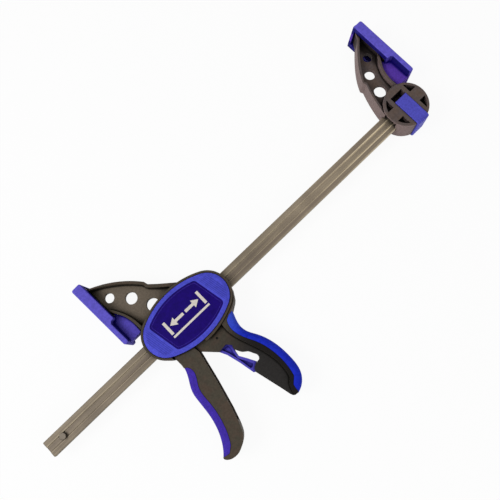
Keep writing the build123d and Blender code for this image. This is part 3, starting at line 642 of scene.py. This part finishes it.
def lit_arm_web(finish):
    """The web between the flanges of the moving arm, drawn lighter than its flanges as painted light."""
    thin = 1 - finish.step(finish.size_of(finish.along(2, BAR_MIDDLE.z)), 3 * MM, 6 * MM)
    return thin * finish.step(finish.along(1, BAR_MIDDLE.y), 20 * MM, 32 * MM)


def shaded_handle_end(finish):
    """The handle, drawn darker towards its end as painted shade; the trigger keeps its own tint."""
    low = 1 - finish.step(finish.along(1, BAR_MIDDLE.y), -66 * MM, -26 * MM)
    return low * finish.step(finish.along(0, COVER_MIDDLE.x), -12 * MM, 2 * MM)


def shaded_handle_rim(finish):
    """The thick rim of the handle beside its grip, drawn darkest as painted shade."""
    out = finish.size_of(finish.along(2, BAR_MIDDLE.z))
    return shaded_handle_end(finish) * finish.step(out, 9.5 * MM, 11.5 * MM)


class CLAMP_OT_nylon(bpy.types.Operator):
    """Finishes the nylon housing, handle and trigger"""

    bl_idname = "clamp.nylon"
    bl_label = "Housing and trigger"

    def execute(self, context):
        colours, sizes, _ = settings()
        nylon = moulded(
            "filled_nylon", colours.nylon, colours.nylon_warm,
            cloud=9 * MM, gloss=0.5, grain=0.45 * MM, grain_depth=0.06 * MM, edge_highlight=1.9,
            edge_round=sizes.edge_round,
            regions=(
                (lit_arm_web, tuple(colours.nylon_web)),
                (shaded_handle_end, tuple(colours.nylon_handle)),
                (shaded_handle_rim, tuple(colours.nylon_rim)),
            ),
        )
        dress(nylon, "body_frame", "trigger")
        return {"FINISHED"}


def lit_jaw_wall(finish):
    """The walls that face away from the pad, drawn lighter as painted light."""
    upright = 1 - finish.step(finish.size_of(finish.facing(2)), 0.3, 0.6)
    return upright * finish.step(-1 * finish.facing(0), 0.1, 0.6)


def jaw_shade(finish):
    """The pocket of the fixed jaw beside its plate, which the pad's rim hides from the light."""
    near = finish.step(finish.along(0, FIXED_FACE), -20 * MM, -14 * MM)
    tall = finish.step(finish.along(1, BAR_MIDDLE.y), 46 * MM, 54 * MM)
    inside = 1 - finish.step(finish.size_of(finish.along(2, BAR_MIDDLE.z)), 8 * MM, 10.5 * MM)
    return 0.85 * near * tall * inside


class CLAMP_OT_fixed_jaw(bpy.types.Operator):
    """Finishes the fixed jaw at the end of the bar"""

    bl_idname = "clamp.fixed_jaw"
    bl_label = "Fixed jaw"

    def execute(self, context):
        colours, sizes, _ = settings()
        jaw = moulded(
            "jaw_nylon", colours.jaw, colours.jaw_warm,
            cloud=11 * MM, gloss=0.48, grain=0.5 * MM, grain_depth=0.06 * MM, edge_highlight=1.8,
            edge_round=sizes.edge_round,
            regions=(
                (lit_jaw_wall, tuple(colours.jaw_side)),
                (jaw_shade, scaled(colours.jaw, 0.05)),
            ),
        )
        dress(jaw, "fixed_jaw")
        return {"FINISHED"}


def cover_ribs(finish, slant):
    """Fine ribs on the flat of a cover, beside both ends of its label and parallel to them."""
    sideways = finish.along(1, COVER_MIDDLE.y)
    reach = finish.size_of(finish.along(0, COVER_MIDDLE.x) + slant * sideways)
    rows = finish.band(reach, LABEL_END + RIB_START, LABEL_END + RIB_END, 0.4 * MM)
    out = finish.size_of(finish.along(2, BAR_MIDDLE.z))
    flat = finish.step(out, COVER_TOP - 0.3 * MM, COVER_TOP - 0.1 * MM)
    inside = 1 - finish.step(finish.size_of(sideways), 13 * MM, 17 * MM)
    return 1 - rows * flat * inside * finish.ridges(reach, RIB_PITCH)


class CLAMP_OT_covers(bpy.types.Operator):
    """Finishes the two side covers and the lock button"""

    bl_idname = "clamp.covers"
    bl_label = "Covers and lock button"

    def execute(self, context):
        colours, sizes, _ = settings()
        for name, node, slant in (
            ("upper_cover_plastic", "upper_cover", LABEL_SLANT),
            ("lower_cover_plastic", "lower_cover", -LABEL_SLANT),
        ):
            cover = moulded(
                name, colours.cover, scaled(colours.cover, 1.12),
                cloud=14 * MM, gloss=0.42, grain=0.6 * MM, grain_depth=0.03 * MM, edge_highlight=1.5,
                edge_round=sizes.edge_round, deep=tuple(colours.blue_shade),
                relief=lambda finish, slant=slant: cover_ribs(finish, slant), relief_depth=sizes.rib_depth,
            )
            dress(cover, node)
        button = moulded(
            "button_plastic", colours.button, scaled(colours.button, 1.12),
            cloud=8 * MM, gloss=0.42, grain=0.6 * MM, grain_depth=0.04 * MM, edge_highlight=1.6,
            edge_round=sizes.edge_round, deep=tuple(colours.blue_shade),
        )
        dress(button, "jaw_lock_button")
        return {"FINISHED"}


class CLAMP_OT_labels(bpy.types.Operator):
    """Finishes the label plates and prints a keyline and a spreading sign on each"""

    bl_idname = "clamp.labels"
    bl_label = "Label plates"

    def execute(self, context):
        colours, sizes, _ = settings()
        print_finish = moulded(
            "label_print", colours.label, scaled(colours.label, 1.2),
            cloud=12 * MM, gloss=0.45, grain=0.35 * MM, grain_depth=0.012 * MM, edge_highlight=1.4,
            edge_round=0.15 * MM, corner_shade=0.5, shade=0.1, shine=0.05,
        )
        dress(print_finish, "upper_label_plate", "lower_label_plate")
        line = moulded(
            "keyline_print", colours.keyline, scaled(colours.keyline, 0.9),
            cloud=5 * MM, gloss=0.5, grain=0.3 * MM, grain_depth=0.01 * MM, edge_highlight=1.1,
            edge_round=0.05 * MM, corner_shade=0.1, shade=0.0,
        )
        ink = moulded(
            "sign_print", colours.sign, scaled(colours.sign, 0.93),
            cloud=5 * MM, gloss=0.5, grain=0.3 * MM, grain_depth=0.01 * MM, edge_highlight=1.1,
            edge_round=0.05 * MM, corner_shade=0.1, shade=0.0,
        )
        for side, up in (("upper", 1), ("lower", -1)):
            node = f"{side}_label_plate"
            low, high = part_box(node)
            level = high.z if up > 0 else low.z
            outline = flat_outline(node, up > 0)
            mesh = keyline_mesh(outline, sizes.keyline_inset, sizes.keyline_width, sizes.print_height, up)
            piece_from(f"{side}_keyline", mesh, line, "moving_jaw", smooth=False)
            shapes = [shift(shape, COVER_MIDDLE.x, COVER_MIDDLE.y) for shape in spread_sign()]
            mesh = raised_shapes(shapes, level, up * sizes.print_height)
            piece_from(f"{side}_spread_sign", mesh, ink, "moving_jaw", smooth=False)
        return {"FINISHED"}


def pad_tongue(finish):
    """What lies below the broad rim of a pad, on both sides of its middle."""
    return 1 - finish.step(finish.size_of(finish.along(2, BAR_MIDDLE.z)), 8 * MM, 12 * MM)


def pad_inside(finish):
    """The walls inside the rims, which face away from the pad's own face: little light reaches them."""
    end = finish.node("ShaderNodeMath", {"operation": "SIGN"}, {0: finish.along(0)})
    inward = -1 * end * finish.facing(0)
    broad = finish.step(finish.size_of(finish.along(2, BAR_MIDDLE.z)), 5 * MM, 7 * MM)
    return 0.9 * broad * finish.step(inward, 0.6, 0.9)


class CLAMP_OT_pads(bpy.types.Operator):
    """Finishes the soft pads on both jaws"""

    bl_idname = "clamp.pads"
    bl_label = "Jaw pads"

    def execute(self, context):
        colours, sizes, _ = settings()
        for node, colour, tongue in (
            # painted light: the fixed pad is a lighter copy of the moving pad's colour
            ("fixed_jaw_pad", scaled(colours.pad, 1.12), colours.fixed_tongue),
            ("moving_jaw_pad", tuple(colours.pad), colours.moving_tongue),
        ):
            pad = moulded(
                f"{node}_elastomer", colour, scaled(colour, 1.1),
                cloud=10 * MM, gloss=0.58, grain=0.55 * MM, grain_depth=0.09 * MM, edge_highlight=1.3,
                edge_round=0.6 * MM, deep=tuple(colours.blue_shade), shade=0.8,
                regions=((pad_tongue, tuple(tongue)), (pad_inside, tuple(colours.blue_shade))),
            )
            dress(pad, node)
        return {"FINISHED"}


def grip_neck(finish):
    """The top end of the handle's grip, below the housing."""
    return finish.step(finish.along(1, BAR_MIDDLE.y), -52 * MM, -27 * MM)


class CLAMP_OT_grips(bpy.types.Operator):
    """Finishes the soft grips on the handle and the trigger"""

    bl_idname = "clamp.grips"
    bl_label = "Soft grips"

    def execute(self, context):
        colours, sizes, _ = settings()
        for name, node, colour, regions in (
            ("handle_grip_elastomer", "handle_grip", colours.grip, ((grip_neck, tuple(colours.grip_neck)),)),
            ("trigger_grip_elastomer", "trigger_grip", colours.trigger_grip, ()),
        ):
            grip = moulded(
                name, colour, scaled(colour, 1.12),
                cloud=12 * MM, gloss=0.5, grain=0.5 * MM, grain_depth=0.05 * MM, edge_highlight=1.2,
                edge_round=0.4 * MM, deep=tuple(colours.blue_shade), corner_shade=0.85, regions=regions,
            )
            dress(grip, node)
        return {"FINISHED"}


class CLAMP_OT_release_lever(bpy.types.Operator):
    """Finishes the release lever"""

    bl_idname = "clamp.release_lever"
    bl_label = "Release lever"

    def execute(self, context):
        colours, sizes, _ = settings()
        lever = moulded(
            "lever_plastic", colours.lever, scaled(colours.lever, 1.15),
            cloud=7 * MM, gloss=0.35, grain=0.5 * MM, grain_depth=0.03 * MM, edge_highlight=1.5,
            edge_round=sizes.edge_round, deep=tuple(colours.blue_shade), corner_shade=0.6, shade=0.3,
        )
        dress(lever, "release_lever")
        return {"FINISHED"}


class CLAMP_OT_grip_works(bpy.types.Operator):
    """Finishes the drive and brake plates and winds the three springs"""

    bl_idname = "clamp.grip_works"
    bl_label = "Plates and springs"

    def execute(self, context):
        colours, sizes, _ = settings()
        plates = turned_steel("plate_steel", colours.plate, 1.2 * MM, 0.15 * MM, gloss=0.32)
        dress(plates, "drive_plate_front", "drive_plate_rear", "brake_plate")
        wire = turned_steel("spring_wire", colours.spring, 0.5 * MM, 0.05 * MM, gloss=0.22)
        drive = ("drive_spring", "drive_coil", "moving_jaw", 0, sizes.drive_wire, 7)
        brake = ("brake_spring", "brake_coil", "moving_jaw", 0, sizes.brake_wire, 5)
        lock = ("jaw_lock_spring", "lock_coil", "bar_and_fixed_jaw", 1, sizes.lock_wire, 8)
        for (node, name, body, axis, diameter, turns), joint, still_at_high, keep in (
            (drive, "trigger_squeeze", True, 0.58),
            (brake, "release_pull", False, 0.8),
            (lock, "lock_button_press", True, 0.65),
        ):
            low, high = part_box(node)
            coil = piece_from(name, spring_mesh(low, high, axis, diameter, turns), wire, body)
            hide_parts(node)
            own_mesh(coil)
        return {"FINISHED"}


class CLAMP_OT_studio(bpy.types.Operator):
    """Sets the pale floor, the soft light and the camera"""

    bl_idname = "clamp.studio"
    bl_label = "Studio"

    def execute(self, context):
        _, _, studio = settings()
        scene = context.scene
        scene.view_settings.view_transform = "Standard"
        middle = (cad_low + cad_high) / 2

        floor_mesh = bmesh.new()
        bmesh.ops.create_grid(floor_mesh, x_segments=8, y_segments=8, size=FLOOR_REACH)
        data = bpy.data.meshes.new("floor")
        floor_mesh.to_mesh(data)
        floor_mesh.free()
        floor = bpy.data.objects.new("floor", data)
        scene.collection.objects.link(floor)
        floor.location = (middle.x, middle.y, cad_low.z)

        paint = Finish("floor_paint")
        tint = tuple(studio.floor)
        flecks = paint.noise(0.02, detail=3)
        paint.feed(Base_Color=paint.mix(flecks, scaled(tint, 0.97), tint), Roughness=0.9)
        glow = paint.node("ShaderNodeEmission", {}, {"Strength": 1.0})
        matt = Field(paint, paint.shader.outputs[0])
        blend = paint.node("ShaderNodeMixShader", {}, {0: paint.seen() * FLOOR_SEEN, 1: matt, 2: glow})
        surface = paint.tree.nodes["Material Output"].inputs["Surface"]
        paint.tree.links.new(blend.socket, surface)
        data.materials.append(paint.material)

        world = bpy.data.worlds.new("studio_light")
        world.use_nodes = True
        scene.world = world
        air = Nodes(world.node_tree)
        sky = air.tree.nodes["Background"]
        sky.inputs["Color"].default_value = (1, 1, 1, 1)
        level = air.node(
            "ShaderNodeMapRange", {}, {"Value": air.seen(), "To Min": studio.sky, "To Max": 1.0}
        )
        air.tree.links.new(level.socket, sky.inputs["Strength"])

        for name, place, size, power in (
            ("key_lamp", Vector(KEY_PLACE), KEY_SIZE, studio.key_power),
            ("fill_lamp", Vector(FILL_PLACE), FILL_SIZE, studio.fill_power),
        ):
            lamp_data = bpy.data.lights.new(name, "AREA")
            lamp_data.shape = "DISK"
            lamp_data.size = size
            lamp_data.energy = power
            lamp = bpy.data.objects.new(name, lamp_data)
            scene.collection.objects.link(lamp)
            lamp.location = middle + place
            lamp.rotation_euler = place.to_track_quat("Z", "Y").to_euler()

        camera_data = bpy.data.cameras.new("camera")
        camera_data.sensor_width = 36
        camera_data.lens = studio.lens
        camera_data.clip_start = 0.01
        camera = bpy.data.objects.new("camera", camera_data)
        scene.collection.objects.link(camera)
        camera.location = studio.camera_place
        camera.rotation_euler = Euler(studio.camera_turn, "XYZ")
        scene.camera = camera
        return {"FINISHED"}


OPERATORS = (
    CLAMP_OT_bar,
    CLAMP_OT_nylon,
    CLAMP_OT_fixed_jaw,
    CLAMP_OT_covers,
    CLAMP_OT_labels,
    CLAMP_OT_pads,
    CLAMP_OT_grips,
    CLAMP_OT_release_lever,
    CLAMP_OT_grip_works,
    CLAMP_OT_studio,
)


class CLAMP_PT_panel(bpy.types.Panel):
    """Settings and steps of the clamp"""

    bl_idname = "CLAMP_PT_panel"
    bl_label = "Bar Clamp"
    bl_space_type = "VIEW_3D"
    bl_region_type = "UI"
    bl_category = "Bar Clamp"

    def draw(self, context):
        for group in (context.scene.clamp_colours, context.scene.clamp_sizes, context.scene.clamp_studio):
            box = self.layout.box()
            for name in group.bl_rna.properties.keys():
                if name not in ("rna_type", "name"):
                    box.prop(group, name)
        for operator in OPERATORS:
            self.layout.operator(operator.bl_idname)


GROUPS = {"clamp_colours": ClampColours, "clamp_sizes": ClampSizes, "clamp_studio": ClampStudio}


def register():
    """Adds the settings, the operators and the panel."""
    for name, group in GROUPS.items():
        bpy.utils.register_class(group)
        setattr(bpy.types.Scene, name, bpy.props.PointerProperty(type=group))
    for operator in OPERATORS:
        bpy.utils.register_class(operator)
    bpy.utils.register_class(CLAMP_PT_panel)


def unregister():
    """Takes them away again."""
    bpy.utils.unregister_class(CLAMP_PT_panel)
    for operator in reversed(OPERATORS):
        bpy.utils.unregister_class(operator)
    for name, group in GROUPS.items():
        delattr(bpy.types.Scene, name)
        bpy.utils.unregister_class(group)


def main():
    """Dresses the clamp."""
    register()
    for operator in OPERATORS:
        group, name = operator.bl_idname.split(".")
        getattr(getattr(bpy.ops, group), name)()


if __name__ == "__main__":
    main()
